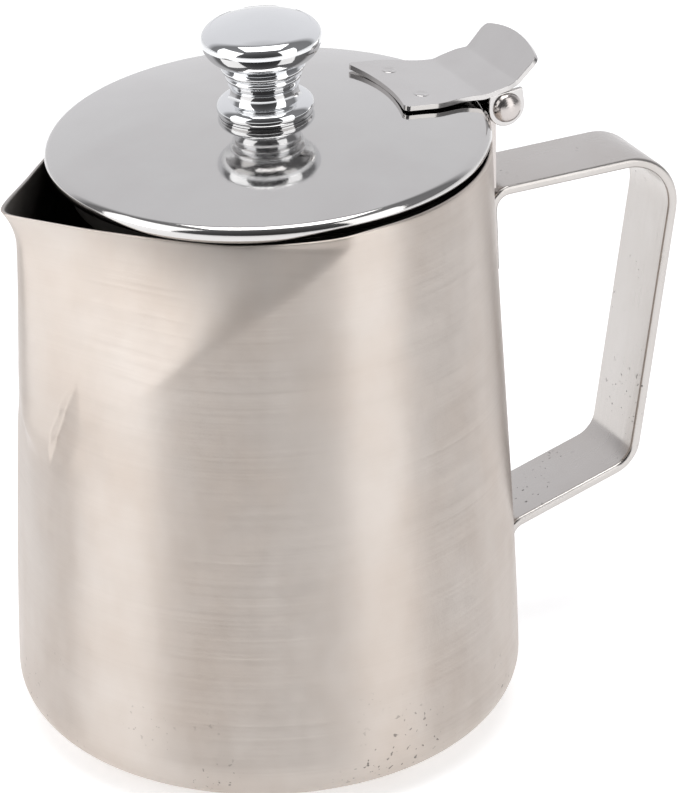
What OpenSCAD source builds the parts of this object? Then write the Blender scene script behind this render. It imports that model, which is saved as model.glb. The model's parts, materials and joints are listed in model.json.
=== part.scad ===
// Lidded stainless steel jug for steaming and frothing milk.
// Millimetres. +Z is up, the spout points to -X, the handle and the lid hinge are at +X.
// The origin is the centre of the flat base on the surface that the jug stands on.

/* [Jug] */
// Outside diameter of the round part of the rim
rim_d = 110; // [104:1:116]
// Height of the rim above the base
body_h = 144.2; // [138:0.2:152]
// Outside diameter of the belly just above the bottom corner
belly_d = 121.6; // [116:0.2:126]
// Height of the rounded bottom corner
corner_h = 12.6; // [8:0.2:16]
// Wall thickness of the jug
wall = 1; // [0.8:0.1:1.4]

/* [Spout] */
// Distance of the spout tip from the axis
spout_tip = 63.7; // [61:0.1:66]
// Height at which the spout starts
spout_bottom = 76; // [60:1:90]

/* [Handle] */
// Width of the handle strip
strip_w = 20; // [16:0.5:22]
// Thickness of the handle strip
strip_t = 2.5; // [2:0.1:3]
// Reach of the handle from the axis
handle_reach = 107.8; // [100:0.2:116]
// Height of the top of the handle
handle_top = 125; // [120:0.5:128]

/* [Lid] */
// Outside diameter of the lid over its curled edge
lid_d = 103.8; // [102:0.1:104]
// Rise of the domed lid above its curled edge
lid_rise = 5.9; // [4:0.1:7]
// Diameter of the curled edge
curl_d = 4.4; // [3.6:0.1:4.8]
// Sheet thickness of the lid
lid_t = 0.8; // [0.6:0.1:1]

/* [Hinge] */
// Diameter of the hinge pin
pin_d = 4; // [3.6:0.1:4.4]
// Sheet thickness of the bracket
bracket_t = 1.6; // [1.4:0.1:1.8]
// Sheet thickness of the thumb plate
plate_t = 1.2; // [1:0.1:1.4]

/* [Knob] */
// Diameter of the knob cap
knob_d = 28; // [26:0.5:30]

/* [Hidden] */
rim_r = rim_d / 2;
belly_r = belly_d / 2;
corner_w = 1.25 * corner_h;
// the spout ridge, the depth of the dip in the rim beside it, and where its lip starts and ends
spout_r = belly_r - 0.8;
rim_dip = 3.4;
lip_z = body_h - 13;
tip_z = body_h - 2.8;
lid_r = lid_d / 2;
curl_r = curl_d / 2;
curl_x = lid_r - curl_r;
running_gap = 0.05;
// the pin sits just clear of the rim and of the lid edge
bore_r = pin_d / 2 + running_gap;
knuckle_r = bore_r + bracket_t;
knuckle_half = 11.5;
pin_x = rim_r + 0.45 + knuckle_r;
pin_z = body_h + 2.6;
// the lid is set back towards the hinge and lies slightly lower at the spout
lid_shift = 3.3;
lid_tilt = 2.2;
lid_z = body_h + 2.8;
dome_r = (curl_x * curl_x + pow(curl_r + lid_rise, 2) - curl_r * curl_r) / (2 * lid_rise);
screw_r = 2.5;
ear_out = 13.2;
ear_r = 4.7;
foot_z = lid_rise - 81 / (2 * dome_r);
round_fn = 96;

// ---------- small helpers ----------

function step01(a, b, v) = let (t = min(1, max(0, (v - a) / (b - a)))) t * t * (3 - 2 * t);

function soft_min(a, b, k) = let (h = max(k - abs(a - b), 0) / k) min(a, b) - h * h * k / 4;

function arc(c, rx, rz, a0, a1, n) =
    [for (i = [0:n]) let (a = a0 + (a1 - a0) * i / n) [c[0] + rx * cos(a), c[1] + rz * sin(a)]];

function unit(v) = v / norm(v);

// one corner of an open line, rounded to radius r with n steps
function corner(p, q, s, r, n) =
    let (u = unit(p - q), v = unit(s - q),
         half = acos(max(-1, min(1, u * v))) / 2,
         reach = r / tan(half),
         c = q + unit(u + v) * r / sin(half),
         a0 = atan2((q + u * reach - c)[1], (q + u * reach - c)[0]),
         a1 = atan2((q + v * reach - c)[1], (q + v * reach - c)[0]),
         turn = (a1 - a0 + 540) % 360 - 180)
    [for (i = [0:n]) c + r * [cos(a0 + turn * i / n), sin(a0 + turn * i / n)]];

function rounded(pts, r, n) =
    concat([pts[0]],
           [for (i = [1:len(pts) - 2]) each corner(pts[i - 1], pts[i], pts[i + 1], r[i - 1], n)],
           [pts[len(pts) - 1]]);

function left_of(d) = [-d[1], d[0]];

// the open line moved sideways by t, to its left
function beside(pts, t) =
    [for (i = [0:len(pts) - 1])
        let (a = unit(pts[max(1, i)] - pts[max(1, i) - 1]),
             b = unit(pts[min(len(pts) - 1, i + 1)] - pts[min(len(pts) - 1, i + 1) - 1]),
             m = unit(left_of(a) + left_of(b)))
        pts[i] + m * t / (m * left_of(a))];

function turns_left(p, q, s) = (q - p)[0] * (s - q)[1] - (q - p)[1] * (s - q)[0] > 0;

// closed outline of a bent strip: its right face is pts, its thickness t lies to the left
function bent_strip(pts, inner_r, t, n) =
    let (other = beside(pts, t),
         k = len(pts) - 2,
         r_right = [for (i = [1:k]) inner_r[i - 1] + (turns_left(pts[i - 1], pts[i], pts[i + 1]) ? t : 0)],
         r_left = [for (i = [1:k]) inner_r[i - 1] + (turns_left(pts[i - 1], pts[i], pts[i + 1]) ? 0 : t)],
         back = rounded(other, r_left, n))
    concat(rounded(pts, r_right, n), [for (i = [len(back) - 1:-1:0]) back[i]]);

// ---------- shape of the jug wall ----------

// radius of the round wall at height z
function side_r(z) =
    let (u = (z - corner_h) / (body_h - corner_h))
    belly_r - (belly_r - rim_r) * (0.43 * u + 1.55 * u * u - 0.98 * u * u * u);

function round_r(z) =
    z >= corner_h ? side_r(z)
    : belly_r - corner_w + corner_w * sqrt(1 - pow(1 - z / corner_h, 2));

// distance of the spout ridge from the axis; its last part flares out into the pouring lip
function ridge_r(z) =
    spout_r + 1 - step01(spout_bottom + 16, lip_z, z)
    + (spout_tip - spout_r) * pow(max(0, (z - lip_z) / (tip_z - lip_z)), 2);

// angle between the ridge and the crease where the flat side of the spout meets the round wall
function crease_a(z) = 12 + 68 * (z - spout_bottom) / (body_h - 3 - spout_bottom);

// distance from the axis, in the direction a, of the straight line through two polar points
function line_r(a, r1, a1, r2, a2) =
    r1 * r2 * sin(a2 - a1) / (r1 * sin(a - a1) + r2 * sin(a2 - a));

// outside radius of the wall at height z, a degrees away from the spout
function wall_r(a, z) =
    let (r = round_r(z),
         crease = crease_a(z),
         ridge_a = 2.6,
         flat = line_r(sqrt(a * a + ridge_a * ridge_a), ridge_r(z), ridge_a, r, crease),
         flat_mid = line_r(crease / 2, ridge_r(z), ridge_a, r, crease),
         blend = max(0.05, (r - flat_mid) * 0.95),
         folded = a < crease / 2 ? flat : a > crease + 25 ? r : soft_min(flat, r, blend))
    z < spout_bottom ? r : r + step01(spout_bottom, spout_bottom + 13, z) * (folded - r);

// the rim dips on both sides of the spout
function rim_z(a) =
    body_h - rim_dip * (1 - step01(54, 97, a)) + (tip_z - body_h + rim_dip) * (1 - step01(0, 20, a));

// ---------- jug ----------

columns = 100;
outer_rows = 35;
inner_rows = 19;
// the rounded top edge of the wall: share of the wall thickness and depth below the top
edge = [[0.12, -0.16], [0.5, 0], [0.88, -0.16]];

// columns crowd together at the spout
function column_angle(j) =
    let (h = columns / 2, k = j <= h ? j : columns - j, t = k / h, a = 180 * (0.35 * t + 0.65 * t * t))
    j <= h ? a : 360 - a;

// heights of the rows, closer together in the corner and near the rim
function row_z(t, low, high) =
    t < 0.3 ? low + (corner_h - low) * pow(t / 0.3, 1.6)
    : corner_h + (high - corner_h) * (1 - pow(1 - (t - 0.3) / 0.7, 1.4));

function wall_point(j, z, inset) =
    let (a = column_angle(j),
         off = a > 180 ? 360 - a : a,
         dip = (body_h - rim_z(off)) * pow(max(0, (z - spout_bottom) / (body_h - spout_bottom)), 2),
         r = wall_r(off, z - dip) - inset)
    [-r * cos(a), -r * sin(a), z - dip];

module jug_body() {
    edge_h = 0.5;
    outer = [for (i = [0:outer_rows]) for (j = [0:columns - 1])
        wall_point(j, row_z(i / outer_rows, 0, body_h - edge_h), 0)];
    top = [for (e = edge) for (j = [0:columns - 1]) wall_point(j, body_h + e[1], wall * e[0])];
    inner = [for (i = [inner_rows:-1:0]) for (j = [0:columns - 1])
        let (z = row_z(i / inner_rows, wall, body_h - edge_h))
        wall_point(j, z, wall * (1 + 1.5 * (1 - step01(wall, corner_h * 0.7, z))))];
    rings = outer_rows + len(edge) + inner_rows + 2;
    floor_centre = rings * columns;
    base_centre = floor_centre + 1;
    side = [for (i = [0:rings - 2]) for (j = [0:columns - 1])
        let (a = i * columns + j, b = i * columns + (j + 1) % columns)
        each [[a, a + columns, b], [b, a + columns, b + columns]]];
    floor_fan = [for (j = [0:columns - 1])
        [(rings - 1) * columns + j, floor_centre, (rings - 1) * columns + (j + 1) % columns]];
    base_fan = [for (j = [0:columns - 1]) [(j + 1) % columns, base_centre, j]];
    color([0.80, 0.78, 0.75])
    polyhedron(points = concat(outer, top, inner, [[0, 0, wall], [0, 0, 0]]),
               faces = concat(side, floor_fan, base_fan), convexity = 6);
}

// the space taken by the round part of the jug, a hair larger all round
module jug_space() {
    heights = [for (i = [0:18]) corner_h + 1 + (body_h - corner_h) * i / 18];
    rotate_extrude($fn = round_fn)
    polygon(concat([[0, heights[0]]], [for (z = heights) [side_r(z) + 0.03, z]], [[0, heights[18]]]));
}

// ---------- handle ----------

module handle() {
    sunk = 0.15;
    lean = 8.8;
    drop = 16;
    bend_r = 11.5;
    // upper inner corner, before it is rounded, so that the rounded handle ends at its reach
    over = (bend_r + strip_t) * (1 / tan((90 - lean) / 2) - 1);
    top_z = handle_top - strip_t;
    top_x = handle_reach + over - strip_t / cos(lean) - strip_t * tan(lean);
    knee_z = 44.4;
    knee_x = top_x - tan(lean) * (top_z - knee_z);
    foot_x = side_r(30) - sunk;
    foot_z = knee_z - tan(drop) * (knee_x - foot_x);
    inner_face = [
        [side_r(104) + strip_t - sunk, 104],
        [side_r(118) + strip_t - sunk, top_z],
        [top_x, top_z],
        [knee_x, knee_z],
        [foot_x, foot_z],
        [side_r(15) - sunk, 15]
    ];
    color([0.79, 0.78, 0.76])
    difference() {
        rotate([90, 0, 0])
        translate([0, 0, -strip_w / 2])
        linear_extrude(height = strip_w)
        polygon(bent_strip(inner_face, [3.2, bend_r, 6.6, 3.2], strip_t, 8));
        jug_space();
    }
}

// ---------- hinge ----------

module hinge_bracket() {
    sunk = 2;
    foot_low = handle_top + 1;
    leg_top = body_h - 4;
    leg_in = pin_x - knuckle_r;
    leg_out = pin_x - bore_r;
    outline = concat(
        [[leg_in - sunk, foot_low], [leg_out, foot_low],
         [leg_out, pin_z - sqrt(knuckle_r * knuckle_r - bore_r * bore_r)]],
        arc([pin_x, pin_z], knuckle_r, knuckle_r, -118, 180, 32),
        [[leg_in, leg_top], [leg_in - sunk, leg_top - 1]]);
    color([0.77, 0.76, 0.75])
    difference() {
        rotate([90, 0, 0])
        translate([0, 0, -knuckle_half])
        linear_extrude(height = 2 * knuckle_half)
        polygon(outline);
        translate([pin_x, 0, pin_z])
        rotate([90, 0, 0])
        cylinder(r = bore_r, h = 2 * knuckle_half + 2, center = true, $fn = 64);
        // seam where the curled sheet ends
        translate([pin_x, 0, pin_z])
        rotate([0, 60, 0])
        translate([bore_r - 0.8, -knuckle_half - 1, -0.3])
        cube([bracket_t + 2, 2 * knuckle_half + 2, 0.6]);
        jug_space();
    }
}

module pin_head(side) {
    head_r = 3.6;
    head_h = 2.2;
    crown = arc([0, 0], head_r, head_h, 0, 90, 10);
    translate([pin_x, side * (ear_out + 0.02), pin_z])
    rotate([-90 * side, 0, 0])
    rotate_extrude($fn = 64)
    polygon(concat([[0, 0]], crown));
}

module hinge_pin() {
    color([0.82, 0.81, 0.80])
    union() {
        translate([pin_x, 0, pin_z])
        rotate([90, 0, 0])
        cylinder(d = pin_d, h = 2 * ear_out + 1, center = true, $fn = 64);
        for (side = [-1, 1])
            pin_head(side);
    }
}

// ---------- lid ----------

module in_lid_frame() {
    translate([lid_shift, 0, lid_z])
    rotate([0, -lid_tilt, 0])
    children();
}

function dome_z(r, t) = lid_rise - dome_r + sqrt(pow(dome_r - t, 2) - r * r);

function dome_arc(r0, r1, t, n) = [for (i = [0:n]) let (r = r0 + (r1 - r0) * i / n) [r, dome_z(r, t)]];

module lid_disc() {
    // angle at which the dome runs into the curled edge
    meet = atan2(dome_r - curl_r - lid_rise, curl_x);
    meet_r = curl_x * dome_r / (dome_r - curl_r);
    meet_in = curl_x * (dome_r - lid_t) / (dome_r - curl_r);
    join = acos(curl_x / (dome_r - curl_r));
    c = [curl_x, -curl_r];
    color([0.80, 0.79, 0.78])
    in_lid_frame()
    rotate_extrude($fn = round_fn)
    polygon(concat(
        dome_arc(screw_r + 0.3, meet_r, 0, 12),
        arc(c, curl_r, curl_r, join - 8, -170, 18),
        arc(c, curl_r - lid_t, curl_r - lid_t, -170, join - 8, 14),
        dome_arc(meet_in, screw_r + 0.3, lid_t, 12)));
}

module lid_skirt() {
    out = 46.5;
    t = 0.6;
    gap = 0.02;
    color([0.70, 0.69, 0.68])
    in_lid_frame()
    rotate_extrude($fn = round_fn)
    polygon([
        [out - t, dome_z(out - t, lid_t) - gap],
        [out - t, -11],
        [out, -11],
        [out, dome_z(out, lid_t) - gap]
    ]);
}

// plan outline of the thumb plate, in the lid frame
function plate_half(x) =
    15.3 - 2.6 * step01(36, 47, x) + 0.5 * step01(48, 54, x) - 0.8 * step01(56, 59.5, x)
    + 0.4 * step01(60, 66, x);

function plate_outline() =
    let (front = 28.4, end = 65.5, r = 1.3, tip_r = 2.2, tip_h = plate_half(end),
         near = [for (i = [0:16]) let (x = front + r + (end - tip_r - front - r) * i / 16) [x, -plate_half(x)]],
         far = [for (i = [len(near) - 1:-1:0]) [near[i][0], -near[i][1]]],
         tip = [for (i = [-6:6]) let (y = (tip_h - tip_r) * i / 6) [end + 1.3 * (1 - pow(i / 6, 2)), y]],
         notch = [for (i = [-6:6]) let (y = -2.3 * i) [front + 1.9 - 1.9 * pow(y / 13.8, 2), y]])
    concat(arc([front + r, -plate_half(front) + r], r, r, 180, 270, 4), near,
           arc([end - tip_r, -tip_h + tip_r], tip_r, tip_r, -75, -10, 4), tip,
           arc([end - tip_r, tip_h - tip_r], tip_r, tip_r, 10, 75, 4), far,
           arc([front + r, plate_half(front) - r], r, r, 90, 180, 4), notch);

// side view of the thumb plate, in the lid frame, as the line of its underside
function plate_underside() =
    let (touch = 32,
         slope = -touch / dome_r,
         z0 = dome_z(touch, 0) + 0.01)
    [[28, z0 + slope * (28 - touch)],
     [50, z0 + slope * (50 - touch)],
     [59.4, z0 + slope * (50 - touch) + 1.35],
     [69, z0 + slope * (50 - touch) + 1.35 + 9.6 * tan(42)]];

// hinge axis seen in the lid frame
pin_in_lid = [(pin_x - lid_shift) * cos(lid_tilt) + (pin_z - lid_z) * sin(lid_tilt),
              (pin_z - lid_z) * cos(lid_tilt) - (pin_x - lid_shift) * sin(lid_tilt)];

module ear(side) {
    top_z = 2.2;
    translate([0, side * (ear_out - plate_t / 2), 0])
    rotate([90, 0, 0])
    translate([0, 0, -plate_t / 2])
    linear_extrude(height = plate_t)
    polygon(concat(
        arc(pin_in_lid, ear_r, ear_r, -180, 0, 24),
        [[pin_in_lid[0] + ear_r - 0.3, top_z], [pin_in_lid[0] - ear_r + 0.3, top_z - 0.4]]));
}

module thumb_plate() {
    color([0.78, 0.77, 0.77])
    in_lid_frame()
    difference() {
        union() {
            intersection() {
                rotate([90, 0, 0])
                translate([0, 0, -20])
                linear_extrude(height = 40)
                polygon(bent_strip(plate_underside(), [5, 1.6], plate_t, 6));
                translate([0, 0, -5])
                linear_extrude(height = 25)
                polygon(plate_outline());
            }
            for (side = [-1, 1])
                ear(side);
        }
        translate([pin_in_lid[0], 0, pin_in_lid[1]])
        rotate([90, 0, 0])
        cylinder(r = pin_d / 2 + 0.02, h = 40, center = true, $fn = 64);
    }
}

// ---------- knob ----------

// turned profile of the knob from its foot, over its neck and collar, to the top of its cap
function knob_profile() =
    let (cap = knob_d / 2, z = lid_rise, edge = cap - 2.4)
    concat(
        [[9, foot_z], [10.9, foot_z]],
        arc([8, z + 1.3], 3.4, 2.2, -30, 70, 8),
        arc([11.2, z + 5.5], 3.3, 3.3, 218, 150, 6),
        [[7.7, z + 7.5], [7.7, z + 7.8]],
        arc([7.4, z + 9], 1.5, 1.1, -55, 55, 6),
        arc([8.3, z + 11.2], 1.5, 1.1, -50, 50, 6),
        [[9.8, z + 12.5]],
        arc([cap - 4.5, z + 18.3], 4.5, 5.2, -70, -7, 8),
        arc([cap - 4.5, z + 18.3], 4.5, 3.1, 0, 62, 7),
        [for (i = [4:-1:0]) let (r = edge * i / 5) [r, z + 23.3 - 2.3 * pow(r / edge, 2)]]);

insert_r = 4;
insert_top = 14;

module knob() {
    color([0.86, 0.87, 0.88])
    in_lid_frame()
    rotate_extrude($fn = round_fn)
    polygon(concat(
        [[0, lid_rise + insert_top]],
        [[insert_r + 0.02, lid_rise + insert_top], [insert_r + 0.02, lid_rise + 0.6], [9, lid_rise + 0.6]],
        knob_profile()));
}

module knob_insert() {
    color([0.80, 0.66, 0.36])
    in_lid_frame()
    translate([0, 0, lid_rise + 0.02])
    difference() {
        cylinder(r = insert_r, h = insert_top - 0.04, $fn = 48);
        translate([0, 0, -1])
        cylinder(r = screw_r + 0.02, h = insert_top - 1, $fn = 48);
    }
}

module knob_washer() {
    color([0.75, 0.75, 0.74])
    in_lid_frame()
    translate([0, 0, lid_rise - lid_t - 1.12])
    difference() {
        cylinder(r = 6, h = 1, $fn = 64);
        translate([0, 0, -1])
        cylinder(r = screw_r + 0.2, h = 3, $fn = 48);
    }
}

module knob_screw() {
    under = lid_rise - lid_t - 1.14;
    color([0.72, 0.72, 0.72])
    in_lid_frame()
    translate([0, 0, under])
    difference() {
        union() {
            cylinder(r = screw_r, h = 11.5, $fn = 48);
            translate([0, 0, -2.6])
            cylinder(r = 4.4, h = 2.6, $fn = 64);
        }
        for (turn = [0, 90])
            rotate([0, 0, turn])
            translate([-2.4, -0.45, -3])
            cube([4.8, 0.9, 2]);
    }
}

jug_body();
handle();
hinge_bracket();
hinge_pin();
thumb_plate();
lid_disc();
lid_skirt();
knob();
knob_insert();
knob_screw();
knob_washer();
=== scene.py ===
"""Looks of a lidded stainless steel frothing jug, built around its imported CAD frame. Units are metres."""
import json
import math

import bmesh
import bpy
from mathutils import Matrix, Vector


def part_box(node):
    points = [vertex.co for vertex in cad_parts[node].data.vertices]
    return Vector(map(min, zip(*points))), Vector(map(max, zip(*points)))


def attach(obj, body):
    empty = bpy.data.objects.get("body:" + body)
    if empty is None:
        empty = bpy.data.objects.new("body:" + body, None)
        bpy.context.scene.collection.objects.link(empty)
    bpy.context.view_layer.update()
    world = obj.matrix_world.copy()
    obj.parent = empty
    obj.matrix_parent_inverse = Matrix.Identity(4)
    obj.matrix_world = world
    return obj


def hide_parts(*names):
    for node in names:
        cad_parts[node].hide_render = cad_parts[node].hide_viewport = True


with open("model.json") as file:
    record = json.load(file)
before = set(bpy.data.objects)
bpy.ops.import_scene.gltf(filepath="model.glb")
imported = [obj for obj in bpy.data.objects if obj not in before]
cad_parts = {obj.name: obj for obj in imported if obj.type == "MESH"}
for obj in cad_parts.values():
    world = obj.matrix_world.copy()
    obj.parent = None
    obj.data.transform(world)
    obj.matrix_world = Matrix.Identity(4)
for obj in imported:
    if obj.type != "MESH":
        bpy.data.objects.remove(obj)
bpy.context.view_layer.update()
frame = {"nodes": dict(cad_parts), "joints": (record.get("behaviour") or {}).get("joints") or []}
MM = 0.001

# ---------- sizes taken from the frame, or the same as in the CAD part ----------

RIM_R = 55.0 * MM
BODY_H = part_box("jug_body")[1].z
BELLY_R = 60.8 * MM
CORNER_H = 12.6 * MM
HINGE = Vector(frame["joints"][0]["pos_m"])

LID_CENTRE = Vector((3.3 * MM, 0, BODY_H + 2.8 * MM))
LID_TILT = math.radians(2.2)
LID_R = 51.9 * MM
LID_RISE = 5.9 * MM
LID_T = 0.8 * MM
CURL_R = 2.2 * MM
CURL_X = LID_R - CURL_R
DOME_R = (CURL_X ** 2 + (CURL_R + LID_RISE) ** 2 - CURL_R ** 2) / (2 * LID_RISE)

STRIP_W = 2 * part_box("handle")[1].y
STRIP_T = 2.5 * MM
# how far the edges of the strip and of the sheets are rounded
STRIP_EDGE = 0.9 * MM
SHEET_EDGE = 0.3 * MM

PLATE_T = 1.2 * MM
EAR_OUT = 13.2 * MM
EAR_R = 4.7 * MM
KNOB_R = 14 * MM


# ---------- small helpers ----------

def step01(low, high, value):
    t = min(1.0, max(0.0, (value - low) / (high - low)))
    return t * t * (3 - 2 * t)


def arc(cx, cz, rx, rz, a0, a1, n):
    """Points of an elliptic arc between two angles in degrees."""
    out = []
    for i in range(n + 1):
        a = math.radians(a0 + (a1 - a0) * i / n)
        out.append((cx + rx * math.cos(a), cz + rz * math.sin(a)))
    return out


def rounded(points, radii, n):
    """An open line whose inner corners are rounded to the given radii."""
    out = [points[0]]
    for before, at, after, r in zip(points, points[1:], points[2:], radii):
        u = (before - at).normalized()
        v = (after - at).normalized()
        half = u.angle(v) / 2
        centre = at + (u + v).normalized() * r / math.sin(half)
        start = at + u * r / math.tan(half) - centre
        end = at + v * r / math.tan(half) - centre
        turn = start.angle_signed(end)
        for i in range(n + 1):
            out.append(centre + Matrix.Rotation(-turn * i / n, 2) @ start)
    out.append(points[-1])
    return out


def mesh_object(name, points, faces, body):
    mesh = bpy.data.meshes.new(name)
    mesh.from_pydata([tuple(p) for p in points], [], faces)
    mesh.validate()
    made = bmesh.new()
    made.from_mesh(mesh)
    bmesh.ops.remove_doubles(made, verts=made.verts, dist=0.001 * MM)
    bmesh.ops.recalc_face_normals(made, faces=made.faces)
    made.to_mesh(mesh)
    made.free()
    mesh.polygons.foreach_set("use_smooth", [True] * len(mesh.polygons))
    obj = bpy.data.objects.new(name, mesh)
    bpy.context.scene.collection.objects.link(obj)
    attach(obj, body)
    return obj


def turned(name, profile, place, body, segments):
    """A closed profile of (radius, height) turned about the local Z axis, then put in place."""
    points, faces = [], []
    count = len(profile)
    for k in range(segments):
        a = 2 * math.pi * k / segments
        for r, z in profile:
            points.append(place @ Vector((r * math.cos(a), r * math.sin(a), z)))
    for k in range(segments):
        here, there = k * count, (k + 1) % segments * count
        for i in range(count):
            j = (i + 1) % count
            faces.append((here + i, there + i, there + j, here + j))
    return mesh_object(name, points, faces, body)


def sharpen(obj, degrees):
    """Edges steeper than the angle stay crisp."""
    obj.data.set_sharp_from_angle(angle=math.radians(degrees))


def round_edges(obj, width):
    """Sharp edges get a small round."""
    made = obj.modifiers.new("edge", "BEVEL")
    made.width = width
    made.segments = 3
    made.limit_method = "ANGLE"
    made.angle_limit = math.radians(40)
    made.harden_normals = True


# ---------- materials ----------

def new_material(name):
    material = bpy.data.materials.new(name)
    material.use_nodes = True
    tree = material.node_tree
    return material, tree, tree.nodes["Principled BSDF"]


def place_scaled(tree, scale):
    """The place on the object, in metres, times the scale."""
    coords = tree.nodes.new("ShaderNodeTexCoord")
    mapping = tree.nodes.new("ShaderNodeMapping")
    mapping.inputs["Scale"].default_value = scale
    tree.links.new(coords.outputs["Object"], mapping.inputs["Vector"])
    return mapping.outputs["Vector"]


def noise(tree, scale, detail, rough):
    made = tree.nodes.new("ShaderNodeTexNoise")
    made.inputs["Scale"].default_value = 1.0
    made.inputs["Detail"].default_value = detail
    made.inputs["Roughness"].default_value = rough
    tree.links.new(place_scaled(tree, scale), made.inputs["Vector"])
    return made.outputs["Fac"]


def ramp(tree, value, low, high, out_low, out_high):
    """The value, mapped from one range to another and held inside it."""
    made = tree.nodes.new("ShaderNodeMapRange")
    made.inputs["From Min"].default_value = low
    made.inputs["From Max"].default_value = high
    made.inputs["To Min"].default_value = out_low
    made.inputs["To Max"].default_value = out_high
    tree.links.new(value, made.inputs["Value"])
    return made.outputs["Result"]


def combine(tree, kind, a, b):
    made = tree.nodes.new("ShaderNodeMath")
    made.operation = kind
    for socket, value in zip(made.inputs, (a, b)):
        if isinstance(value, float):
            socket.default_value = value
        else:
            tree.links.new(value, socket)
    return made.outputs["Value"]


def blend_colour(tree, factor, a, b):
    made = tree.nodes.new("ShaderNodeMix")
    made.data_type = "RGBA"
    tree.links.new(factor, made.inputs["Factor"])
    for socket, value in zip((made.inputs["A"], made.inputs["B"]), (a, b)):
        if isinstance(value, tuple):
            socket.default_value = (*value, 1)
        else:
            tree.links.new(value, socket)
    return made.outputs["Result"]


# noise cells per metre along X, Y and Z
CLOUDS = (38, 38, 30)
MARKS = (150, 150, 130)
PIT_SPECKS = (900, 900, 900)
PIT_PATCHES = (60, 60, 60)
# colour of a pit, as a share of the colour around it
PIT_DARKNESS = 0.42


def pitting(tree, low, high, rarity):
    """Where the surface is pitted: small specks in patches, more of them towards the lower height."""
    specks = ramp(tree, noise(tree, PIT_SPECKS, 1.0, 0.4), rarity, rarity + 0.03, 0.0, 1.0)
    patches = ramp(tree, noise(tree, PIT_PATCHES, 2.0, 0.5), 0.5, 0.62, 0.0, 1.0)
    coords = tree.nodes.new("ShaderNodeTexCoord")
    split = tree.nodes.new("ShaderNodeSeparateXYZ")
    tree.links.new(coords.outputs["Object"], split.inputs["Vector"])
    downward = ramp(tree, split.outputs["Z"], low, high, 1.0, 0.0)
    return combine(tree, "MULTIPLY", combine(tree, "MULTIPLY", specks, patches), downward)


def steel(name, colour, stain, rough, grain, depth, anisotropy=0.0, pits=None):
    """Metal with faint stains, cloudy roughness, a grain this deep in metres and, where asked for, pits."""
    material, tree, shader = new_material(name)
    shader.inputs["Metallic"].default_value = 1.0
    lines = noise(tree, grain, 2.0, 0.6)
    stained = ramp(tree, noise(tree, CLOUDS, 4.0, 0.55), 0.40, 0.72, 0.0, 1.0)
    tint = blend_colour(tree, stained, colour, stain)
    streaked = ramp(tree, lines, 0.3, 0.7, -0.035, 0.035)
    marked = ramp(tree, noise(tree, MARKS, 5.0, 0.65), 0.35, 0.75, rough * 0.96, rough * 1.07)
    roughness = combine(tree, "ADD", marked, streaked)
    height = lines
    if pits:
        worn = pitting(tree, *pits)
        tint = blend_colour(tree, worn, tint, tuple(PIT_DARKNESS * c for c in colour))
        roughness = combine(tree, "ADD", roughness, combine(tree, "MULTIPLY", worn, 0.2))
        height = combine(tree, "SUBTRACT", lines, combine(tree, "MULTIPLY", worn, 2.0))
    bump = tree.nodes.new("ShaderNodeBump")
    bump.inputs["Strength"].default_value = 1.0
    bump.inputs["Distance"].default_value = depth
    tree.links.new(height, bump.inputs["Height"])
    tree.links.new(bump.outputs["Normal"], shader.inputs["Normal"])
    tree.links.new(tint, shader.inputs["Base Color"])
    tree.links.new(roughness, shader.inputs["Roughness"])
    if anisotropy:
        # the grain runs round the jug, so a quarter turn stretches the highlights up and down
        shader.inputs["Anisotropic"].default_value = anisotropy
        shader.inputs["Anisotropic Rotation"].default_value = 0.25
        tangent = tree.nodes.new("ShaderNodeTangent")
        tangent.direction_type = "RADIAL"
        tangent.axis = "Z"
        tree.links.new(tangent.outputs["Tangent"], shader.inputs["Tangent"])
    return material


def dress(obj, material):
    obj.data.materials.clear()
    obj.data.materials.append(material)


MICRON = 0.001 * MM
BODY_STEEL = steel("body_steel", (0.62, 0.565, 0.52), (0.57, 0.50, 0.445), 0.42, (14, 14, 2600), 11 * MICRON,
                   anisotropy=0.9, pits=(0.008, 0.036, 0.69))
# the inside steel is darker than the body's steel: painted shade for the inside of the jug and the underside
# of the lid
SHADED_INSIDE_STEEL = steel("inside_steel_painted_shade", (0.42, 0.40, 0.38), (0.36, 0.34, 0.32), 0.38, (14, 14, 2200), 6 * MICRON)
LID_STEEL = steel("lid_steel", (0.60, 0.59, 0.58), (0.57, 0.555, 0.545), 0.08, (900, 900, 900), 0.6 * MICRON)
PLATE_STEEL = steel("plate_steel", (0.60, 0.585, 0.575), (0.55, 0.53, 0.52), 0.17, (60, 1800, 60), 3 * MICRON)
HANDLE_STEEL = steel("handle_steel", (0.56, 0.535, 0.515), (0.52, 0.49, 0.465), 0.24, (50, 2300, 50),
                     5 * MICRON, pits=(0.10, 0.30, 0.70))
PIN_STEEL = steel("pin_steel", (0.58, 0.545, 0.525), (0.52, 0.48, 0.46), 0.22, (700, 700, 700), 3 * MICRON)
CHROME = steel("chrome", (0.78, 0.79, 0.80), (0.74, 0.745, 0.755), 0.035, (300, 300, 300), 0.8 * MICRON)
BRASS = steel("brass", (0.72, 0.52, 0.22), (0.60, 0.42, 0.18), 0.3, (200, 200, 2000), 4 * MICRON)


# ---------- lid ----------

LID_PLACE = Matrix.Translation(LID_CENTRE) @ Matrix.Rotation(-LID_TILT, 4, "Y")


def dome_z(r, depth=0.0):
    """Height of the dome in the lid's own frame, the given depth under its top face."""
    return LID_RISE - DOME_R + math.sqrt((DOME_R - depth) ** 2 - r * r)


def dome_line(r0, r1, depth):
    """Points along the dome from one radius to another, the given depth under its top face."""
    steps = 40
    radii = [r0 + (r1 - r0) * i / steps for i in range(steps + 1)]
    return [(r, dome_z(r, depth)) for r in radii]


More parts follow.
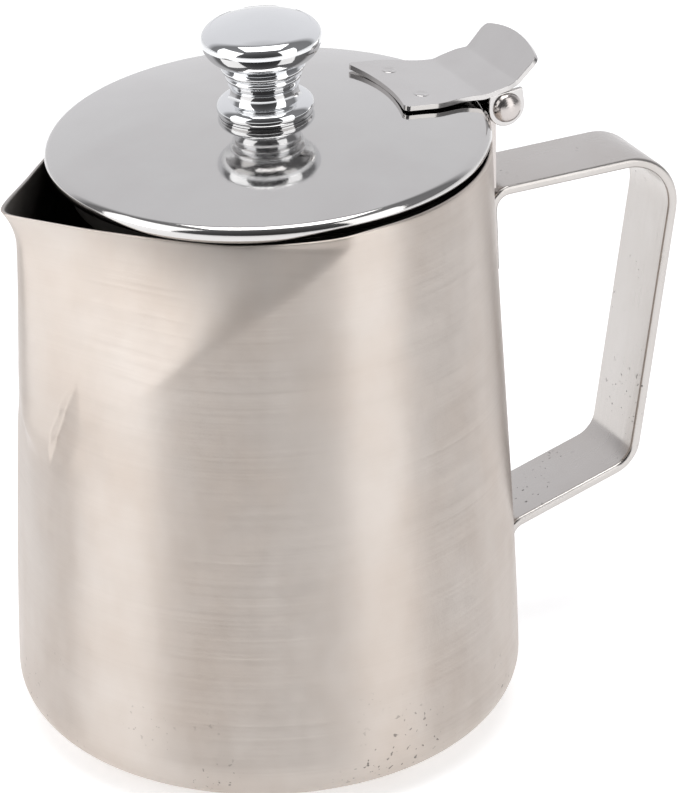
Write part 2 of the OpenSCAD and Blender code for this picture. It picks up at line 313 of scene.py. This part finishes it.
def lid_profile():
    hole = 2.8 * MM
    join = math.degrees(math.acos(CURL_X / (DOME_R - CURL_R)))
    outer_r = CURL_X * DOME_R / (DOME_R - CURL_R)
    inner_r = CURL_X * (DOME_R - LID_T) / (DOME_R - CURL_R)
    top = dome_line(hole, outer_r, 0.0)
    under = dome_line(inner_r, hole, LID_T)
    curl = arc(CURL_X, -CURL_R, CURL_R, CURL_R, join - 6, -170, 32)
    inside = arc(CURL_X, -CURL_R, CURL_R - LID_T, CURL_R - LID_T, -170, join - 6, 24)
    return top + curl + inside + under


lid = turned("lid_dome", lid_profile(), LID_PLACE, "lid", 256)
sharpen(lid, 50)
dress(lid, LID_STEEL)
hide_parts("lid_disc")


def knob_profile():
    """Foot, neck, groove, collar and cap of the turned knob, from the lid's top upwards."""
    z = LID_RISE / MM
    cap = KNOB_R / MM
    edge = cap - 2.4
    crown, crown_steps = 2.3, 18
    foot = dome_z(9 * MM) / MM
    line = [(4.05, z + 14), (4.05, z + 0.6), (9, z + 0.6), (9, foot), (10.9, foot)]
    line += arc(8, z + 1.3, 3.4, 2.2, -30, 70, 22)
    line += arc(11.2, z + 5.5, 3.3, 3.3, 218, 150, 16)
    line += [(7.7, z + 7.5), (7.7, z + 7.8)]
    line += arc(7.4, z + 9, 1.5, 1.1, -55, 55, 14)
    line += arc(8.3, z + 11.2, 1.5, 1.1, -50, 50, 14)
    line += [(9.8, z + 12.5)]
    line += arc(cap - 4.5, z + 18.3, 4.5, 5.2, -70, 0, 22)
    line += arc(cap - 4.5, z + 18.3, 4.5, 3.1, 4, 62, 16)
    for i in range(crown_steps + 1):
        share = 1 - i / crown_steps
        line.append((edge * share, z + 21 + crown * (1 - share ** 2)))
    line += [(0, z + 14)]
    return [(r * MM, h * MM) for r, h in line]


knob = turned("lid_knob", knob_profile(), LID_PLACE, "lid", 192)
sharpen(knob, 30)
dress(knob, CHROME)
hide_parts("knob")


# ---------- handle ----------

def side_r(z):
    """Outside radius of the jug's round wall above its bottom corner."""
    u = (z - CORNER_H) / (BODY_H - CORNER_H)
    return BELLY_R - (BELLY_R - RIM_R) * (0.43 * u + 1.55 * u ** 2 - 0.98 * u ** 3)


def handle_path():
    """Centre line of the strip, from its upper weld tab round to its lower one."""
    sunk = 0.15 * MM
    lean = math.radians(8.8)
    drop = math.radians(16)
    bend_r = 11.5 * MM
    cad_lo, cad_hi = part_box("handle")
    half = STRIP_T / 2
    over = (bend_r + STRIP_T) * (1 / math.tan((math.pi / 2 - lean) / 2) - 1)
    top_z = cad_hi.z - half
    top_x = cad_hi.x + over - half / math.cos(lean) - half * math.tan(lean)
    knee_z = 43.3 * MM
    knee_x = top_x - math.tan(lean) * (top_z - knee_z)
    foot_x = side_r(30 * MM) - sunk + half
    foot_z = knee_z - math.tan(drop) * (knee_x - foot_x)
    corners = [
        Vector((side_r(104 * MM) + half - sunk, 104 * MM)),
        Vector((side_r(118 * MM) + half - sunk, top_z)),
        Vector((top_x, top_z)),
        Vector((knee_x, knee_z)),
        Vector((foot_x, foot_z)),
        Vector((side_r(15 * MM) - sunk + half, cad_lo.z)),
    ]
    return rounded(corners, [3.2 * MM + half, bend_r + half, 6.6 * MM + half, 3.2 * MM + half], 14)


def strip_section(half_w, half_t, r, n=5):
    """Rounded rectangle as (across, through) pairs."""
    out = []
    for sx, sz, a0 in ((1, 1, 0), (-1, 1, 90), (-1, -1, 180), (1, -1, 270)):
        out += arc(sx * (half_w - r), sz * (half_t - r), r, r, a0, a0 + 90, n)
    return out


def strip_handle():
    """The handle: one flat strip with rounded edges, bent along its path."""
    path = handle_path()
    section = strip_section(STRIP_W / 2, STRIP_T / 2, STRIP_EDGE)
    count = len(section)
    points, faces = [], []
    for i, at in enumerate(path):
        into = at - path[i - 1] if i else path[1] - at
        onward = path[i + 1] - at if i < len(path) - 1 else into
        along = (into.normalized() + onward.normalized()).normalized()
        side = Vector((-along.y, along.x))
        for across, through in section:
            p = at + side * through
            points.append((p.x, across, p.y))
    for i in range(len(path) - 1):
        here, there = i * count, (i + 1) * count
        for k in range(count):
            m = (k + 1) % count
            faces.append((here + k, here + m, there + m, there + k))
    faces.append(tuple(range(count)))
    faces.append(tuple(reversed(range(len(points) - count, len(points)))))
    obj = mesh_object("strip_handle", points, faces, "jug")
    sharpen(obj, 50)
    dress(obj, HANDLE_STEEL)
    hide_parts("handle")


strip_handle()


# ---------- jug ----------

SPOUT_BOTTOM = 76 * MM
SPOUT_R = BELLY_R - 0.8 * MM
SPOUT_TIP = 63.7 * MM
LIP_Z = BODY_H - 13 * MM
TIP_Z = BODY_H - 2.8 * MM
RIM_DIP = 3.4 * MM
WALL = 1 * MM
# half-width of the ridge's own flat, and how far past the crease the blend into the round wall reaches
RIDGE_A = math.radians(2.6)
FOLD_REACH = math.radians(25)
# how much of its depth the flat side of the spout gives back by bulging
SPOUT_BULGE = 0.22


def round_r(z):
    """Outside radius of the round wall, with the rounded bottom corner."""
    if z >= CORNER_H:
        return side_r(z)
    width = 1.25 * CORNER_H
    return BELLY_R - width + width * math.sqrt(max(0.0, 1 - (1 - z / CORNER_H) ** 2))


def ridge_r(z):
    """Distance of the spout's ridge from the axis; its last part flares out into the pouring lip."""
    lip = max(0.0, (z - LIP_Z) / (TIP_Z - LIP_Z))
    return SPOUT_R + MM * (1 - step01(SPOUT_BOTTOM + 16 * MM, LIP_Z, z)) + (SPOUT_TIP - SPOUT_R) * lip ** 2


def line_r(a, r1, a1, r2, a2):
    """Distance from the axis, in the direction a, of the straight line through two polar points."""
    return r1 * r2 * math.sin(a2 - a1) / (r1 * math.sin(a - a1) + r2 * math.sin(a2 - a))


def soft_min(a, b, k):
    """The smaller value, with the change from one to the other rounded over the width k."""
    h = max(k - abs(a - b), 0) / k
    return min(a, b) - h * h * k / 4


def crease_a(z):
    """Angle from the spout at which its flat side meets the round wall, at height z."""
    rise = min(1.0, (z - SPOUT_BOTTOM) / (BODY_H - 3 * MM - SPOUT_BOTTOM))
    return math.radians(12 + 68 * rise ** 1.35)


def wall_r(a, z):
    """Outside radius of the wall at height z, a radians away from the spout."""
    r = round_r(z)
    if z < SPOUT_BOTTOM:
        return r
    crease = crease_a(z)
    if a > crease + FOLD_REACH:
        return r
    ridge = ridge_r(z)
    depth = r - line_r(crease / 2, ridge, RIDGE_A, r, crease)
    folded = line_r(math.hypot(a, RIDGE_A), ridge, RIDGE_A, r, crease)
    if a < crease:
        folded += SPOUT_BULGE * depth * math.sin(math.pi * a / crease)
    if a >= crease / 2:
        folded = soft_min(folded, r, max(0.05 * MM, 0.95 * (1 - SPOUT_BULGE) * depth))
    return r + step01(SPOUT_BOTTOM, SPOUT_BOTTOM + 13 * MM, z) * (folded - r)


def rim_z(a):
    """Height of the rim, which dips on both sides of the spout, a radians away from the spout."""
    a = math.degrees(a)
    dip = RIM_DIP * (1 - step01(54, 97, a))
    tip = (TIP_Z - BODY_H + RIM_DIP) * (1 - step01(0, 20, a))
    return BODY_H - dip + tip


def shell_angles(half=170):
    """Angles round the jug, closer together at the spout."""
    one_side = [math.pi * (0.35 * t + 0.65 * t * t) for t in (k / half for k in range(half + 1))]
    return one_side + [2 * math.pi - a for a in reversed(one_side[1:-1])]


def shell_rows(corner_rows=22, side_rows=118, edge_rows=8):
    """(height, inset) of each row: up the outside, over the rim, down the inside and onto the floor."""
    edge_h = 0.5 * MM
    outer = [CORNER_H * (k / corner_rows) ** 1.6 for k in range(corner_rows)]
    for k in range(side_rows + 1):
        outer.append(CORNER_H + (BODY_H - edge_h - CORNER_H) * (1 - (1 - k / side_rows) ** 1.3))
    rows = [(z, 0.0) for z in outer]
    for i in range(1, edge_rows):
        turn = math.pi * i / edge_rows
        rows.append((BODY_H - edge_h * (1 - math.sin(turn)), WALL * (1 - math.cos(turn)) / 2))
    for z in reversed([max(z, WALL) for z in outer[10::3]]):
        rows.append((z, WALL * (1 + 1.5 * (1 - step01(WALL, CORNER_H * 0.7, z)))))
    rows.append((WALL, WALL * 2.5))
    return rows


def shell_point(a, z, inset):
    """A point of the skin in the direction a, moved down near the rim by as much as the rim dips there."""
    off = 2 * math.pi - a if a > math.pi else a
    dip = (BODY_H - rim_z(off)) * max(0.0, (z - SPOUT_BOTTOM) / (BODY_H - SPOUT_BOTTOM)) ** 2
    r = wall_r(off, z - dip) - inset
    return (-r * math.cos(a), -r * math.sin(a), z - dip)


def jug_shell():
    """The jug's whole skin: outside wall, rounded rim, inside wall and both floors."""
    angles = shell_angles()
    rows = shell_rows()
    n = len(angles)
    points = [shell_point(a, z, inset) for z, inset in rows for a in angles]
    points += [(0, 0, 0), (0, 0, WALL)]
    base_centre = len(points) - 2
    floor_centre = len(points) - 1
    last = (len(rows) - 1) * n
    faces = []
    for j in range(n):
        k = (j + 1) % n
        faces += [(i + j, i + n + j, i + n + k, i + k) for i in range(0, last, n)]
        faces.append((j, k, base_centre))
        faces.append((last + k, last + j, floor_centre))
    obj = mesh_object("jug_shell", points, faces, "jug")
    sharpen(obj, 60)
    dress(obj, BODY_STEEL)
    # inward faces and the inside floor take the darker inside colour, painted shade
    obj.data.materials.append(SHADED_INSIDE_STEEL)
    for face in obj.data.polygons:
        centre = face.center
        faces_inward = face.normal.x * centre.x + face.normal.y * centre.y < 0
        is_floor = face.normal.z > 0.5 and centre.z < 0.03
        if faces_inward or is_floor:
            face.material_index = 1
    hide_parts("jug_body")


jug_shell()


# ---------- thumb plate ----------

def plate_half(x):
    """Half-width of the thumb plate, in the lid's own frame, in millimetres."""
    return (15.3 - 2.6 * step01(36, 47, x) + 0.5 * step01(48, 54, x) - 0.8 * step01(56, 59.5, x)
            + 0.4 * step01(60, 66, x))


def plate_side():
    """Side view of the plate's underside, in the lid's own frame, in millimetres."""
    touch, front, first_bend, second_bend, end = 32, 27, 50, 59.4, 70
    lift = 1.35
    flare = math.tan(math.radians(42))
    slope = -touch * MM / DOME_R
    z0 = dome_z(touch * MM) / MM + 0.01
    low = z0 + slope * (first_bend - touch)
    corners = [
        Vector((front, z0 + slope * (front - touch))),
        Vector((first_bend, low)),
        Vector((second_bend, low + lift)),
        Vector((end, low + lift + flare * (end - second_bend))),
    ]
    return rounded(corners, [6.2, 2.8], 12)


def height_at(line, x):
    """Height of an open line, whose points go along X, at the given x."""
    for a, b in zip(line, line[1:]):
        if a.x <= x <= b.x:
            return a.y + (b.y - a.y) * (x - a.x) / max(1e-9, b.x - a.x)
    return line[-1].y


def thumb_rest():
    """A waisted sheet with a hollow front edge, bent up at its back for the thumb."""
    front, end = 28.4, 65.5
    corner, tip_corner = 1.3, 2.2
    hollow, bow = 1.9, 1.3
    rows, columns = 90, 44
    side = plate_side()
    points, faces = [], []
    for i in range(rows + 1):
        t = i / rows
        base_x = front + (end - front) * t
        half = plate_half(base_x)
        for edge, r in ((base_x - front, corner), (end - base_x, tip_corner)):
            if edge < r:
                half -= r - math.sqrt(r * r - (r - edge) ** 2)
        for j in range(columns + 1):
            v = -1 + 2 * j / columns
            x = base_x + (1 - v * v) * (hollow * (1 - t) ** 2 + bow * t ** 4)
            points.append(LID_PLACE @ Vector((x * MM, v * half * MM, height_at(side, x) * MM)))
    for i in range(rows):
        for j in range(columns):
            a = i * (columns + 1) + j
            faces.append((a, a + columns + 1, a + columns + 2, a + 1))
    obj = mesh_object("thumb_rest", points, faces, "lid")
    if obj.data.polygons[0].normal.z < 0:
        obj.data.flip_normals()
    shell = obj.modifiers.new("sheet", "SOLIDIFY")
    shell.thickness = PLATE_T
    shell.offset = 1
    round_edges(obj, SHEET_EDGE)
    dress(obj, PLATE_STEEL)
    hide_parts("thumb_plate")


def ear(name, side):
    """One lug of the thumb plate, round at its foot, that holds an end of the hinge pin."""
    pin = LID_PLACE.inverted() @ HINGE
    outline = arc(pin.x, pin.z, EAR_R, EAR_R, -180, 0, 40)
    outline += [(pin.x + EAR_R - 0.3 * MM, 1.7 * MM), (pin.x - EAR_R + 0.3 * MM, 1.3 * MM)]
    n = len(outline)
    inner, outer = side * (EAR_OUT - PLATE_T), side * EAR_OUT
    points = [LID_PLACE @ Vector((x, y, z)) for y in (inner, outer) for x, z in outline]
    faces = [tuple(range(n)), tuple(reversed(range(n, 2 * n)))]
    faces += [(k, n + k, n + (k + 1) % n, (k + 1) % n) for k in range(n)]
    obj = mesh_object(name, points, faces, "lid")
    sharpen(obj, 40)
    round_edges(obj, SHEET_EDGE)
    dress(obj, PLATE_STEEL)


thumb_rest()
ear("ear_near", -1)
ear("ear_far", 1)


def weld_mark(name, x, y):
    """A shallow ringed dimple where the thumb plate is spot-welded to the lid."""
    side = plate_side()
    top = height_at(side, x) * MM + PLATE_T
    dimple = [(0.02, -0.2), (0.7, 0.02), (1.15, 0.05), (1.5, 0.16), (1.8, 0.1), (2.1, -0.2)]
    slope = math.atan2(height_at(side, x - 1) - height_at(side, x + 1), 2)
    local = Matrix.Translation((x * MM, y * MM, top)) @ Matrix.Rotation(slope, 4, "Y")
    mark = turned(name, [(r * MM, h * MM) for r, h in dimple], LID_PLACE @ local, "lid", 40)
    dress(mark, PLATE_STEEL)


WELD_X, WELD_Y = 36.0, 8.2
weld_mark("weld_near", WELD_X, -WELD_Y)
weld_mark("weld_far", WELD_X, WELD_Y)


# ---------- carried-over CAD pieces ----------

def carry(node, material):
    """A CAD piece shown as it is, smooth except at its corners."""
    obj = frame["nodes"][node]
    obj.data.polygons.foreach_set("use_smooth", [True] * len(obj.data.polygons))
    sharpen(obj, 35)
    dress(obj, material)


carry("hinge_bracket", PIN_STEEL)
carry("hinge_pin", PIN_STEEL)
# the lid's skirt takes the darker inside colour, painted shade under the lid
carry("lid_skirt", SHADED_INSIDE_STEEL)
carry("knob_insert", BRASS)
carry("knob_screw", PIN_STEEL)
carry("knob_washer", PIN_STEEL)


# ---------- camera ----------

CAMERA_AZIMUTH = -24.83
CAMERA_ELEVATION = 27.17
CAMERA_ROLL = -1.667
CAMERA_DISTANCE = 1.0966
CAMERA_PIVOT = Vector((0, 0, 0.063))
# the picture's centre lies a little to the right of the jug's axis and above the pivot
AIM_RIGHT = 18.08 * MM
AIM_UP = 14.88 * MM


def add_camera():
    """A long lens, looking down on the jug from in front and from the spout's side."""
    azimuth = math.radians(CAMERA_AZIMUTH)
    elevation = math.radians(CAMERA_ELEVATION)
    roll = math.radians(CAMERA_ROLL)
    ground = Vector((math.sin(azimuth), -math.cos(azimuth), 0)) * math.cos(elevation)
    back = ground + Vector((0, 0, math.sin(elevation)))
    level = Vector((math.cos(azimuth), math.sin(azimuth), 0))
    upright = back.cross(level)
    right = level * math.cos(roll) + upright * math.sin(roll)
    up = upright * math.cos(roll) - level * math.sin(roll)
    place = CAMERA_PIVOT + back * CAMERA_DISTANCE
    aim = CAMERA_PIVOT + right * AIM_RIGHT + up * AIM_UP
    back = (place - aim).normalized()
    right = (right - back * right.dot(back)).normalized()
    data = bpy.data.cameras.new("camera")
    data.lens = 208.1
    data.clip_start = 0.01
    camera = bpy.data.objects.new("camera", data)
    turn = Matrix((right, back.cross(right), back)).transposed().to_4x4()
    camera.matrix_world = Matrix.Translation(place) @ turn
    bpy.context.scene.collection.objects.link(camera)
    bpy.context.scene.camera = camera


add_camera()


# ---------- floor and light ----------

def add_floor():
    """A wide white floor that also glows a little, like a lit sweep."""
    size = 6.0
    points = [(-size, -size, 0), (size, -size, 0), (size, size, 0), (-size, size, 0)]
    mesh = bpy.data.meshes.new("floor")
    mesh.from_pydata(points, [], [(0, 1, 2, 3)])
    floor = bpy.data.objects.new("floor", mesh)
    bpy.context.scene.collection.objects.link(floor)
    material, tree, shader = new_material("floor_white")
    shader.inputs["Base Color"].default_value = (0.82, 0.82, 0.825, 1)
    shader.inputs["Emission Color"].default_value = (1, 1, 1, 1)
    shader.inputs["Emission Strength"].default_value = 0.5
    shader.inputs["Roughness"].default_value = 0.7
    mesh.materials.append(material)


def add_light(name, azimuth, distance, height, width, tall, power):
    """A soft box, turned to the jug. Azimuth is measured from the camera's side, positive to its right."""
    turn = math.radians(azimuth + CAMERA_AZIMUTH)
    place = Vector((math.sin(turn) * distance, -math.cos(turn) * distance, height))
    data = bpy.data.lights.new(name, "AREA")
    data.shape = "RECTANGLE"
    data.size = width
    data.size_y = tall
    data.energy = power
    lamp = bpy.data.objects.new(name, data)
    lamp.rotation_euler = (Vector((0, 0, 0.1)) - place).to_track_quat("-Z", "Y").to_euler()
    lamp.location = place
    lamp.visible_camera = False
    bpy.context.scene.collection.objects.link(lamp)


def add_world():
    """A white backdrop behind the jug, dim walls at the sides and a dark room in front of it."""
    world = bpy.data.worlds.new("studio")
    world.use_nodes = True
    bpy.context.scene.world = world
    tree = world.node_tree
    background = tree.nodes["Background"]
    coords = tree.nodes.new("ShaderNodeTexCoord")
    facing = tree.nodes.new("ShaderNodeVectorMath")
    facing.operation = "DOT_PRODUCT"
    azimuth = math.radians(CAMERA_AZIMUTH)
    facing.inputs[1].default_value = (math.sin(azimuth), -math.cos(azimuth), 0)
    tree.links.new(coords.outputs["Generated"], facing.inputs[0])
    walls = tree.nodes.new("ShaderNodeValToRGB")
    # (how far round from the backdrop, brightness)
    stops = ((0.0, 0.90), (0.26, 0.84), (0.38, 0.24), (0.62, 0.26), (0.86, 0.10), (1.0, 0.05))
    while len(walls.color_ramp.elements) < len(stops):
        walls.color_ramp.elements.new(0.5)
    for element, (at, value) in zip(walls.color_ramp.elements, stops):
        element.position = at
        element.color = (value, value, value * 1.03, 1)
    tree.links.new(ramp(tree, facing.outputs["Value"], -1.0, 1.0, 0.0, 1.0), walls.inputs["Fac"])
    path = tree.nodes.new("ShaderNodeLightPath")
    seen = blend_colour(tree, path.outputs["Is Camera Ray"], walls.outputs["Color"], (1.0, 1.0, 1.0))
    tree.links.new(seen, background.inputs["Color"])
    background.inputs["Strength"].default_value = 1.0


add_floor()
add_world()
add_light("box_left", -68, 0.75, 0.42, 0.62, 0.80, 2.6)
add_light("box_right", 52, 0.80, 0.42, 0.46, 0.80, 1.9)
add_light("box_top", 0, 0.12, 1.3, 1.0, 0.7, 7.5)
bpy.context.scene.view_settings.view_transform = "Standard"
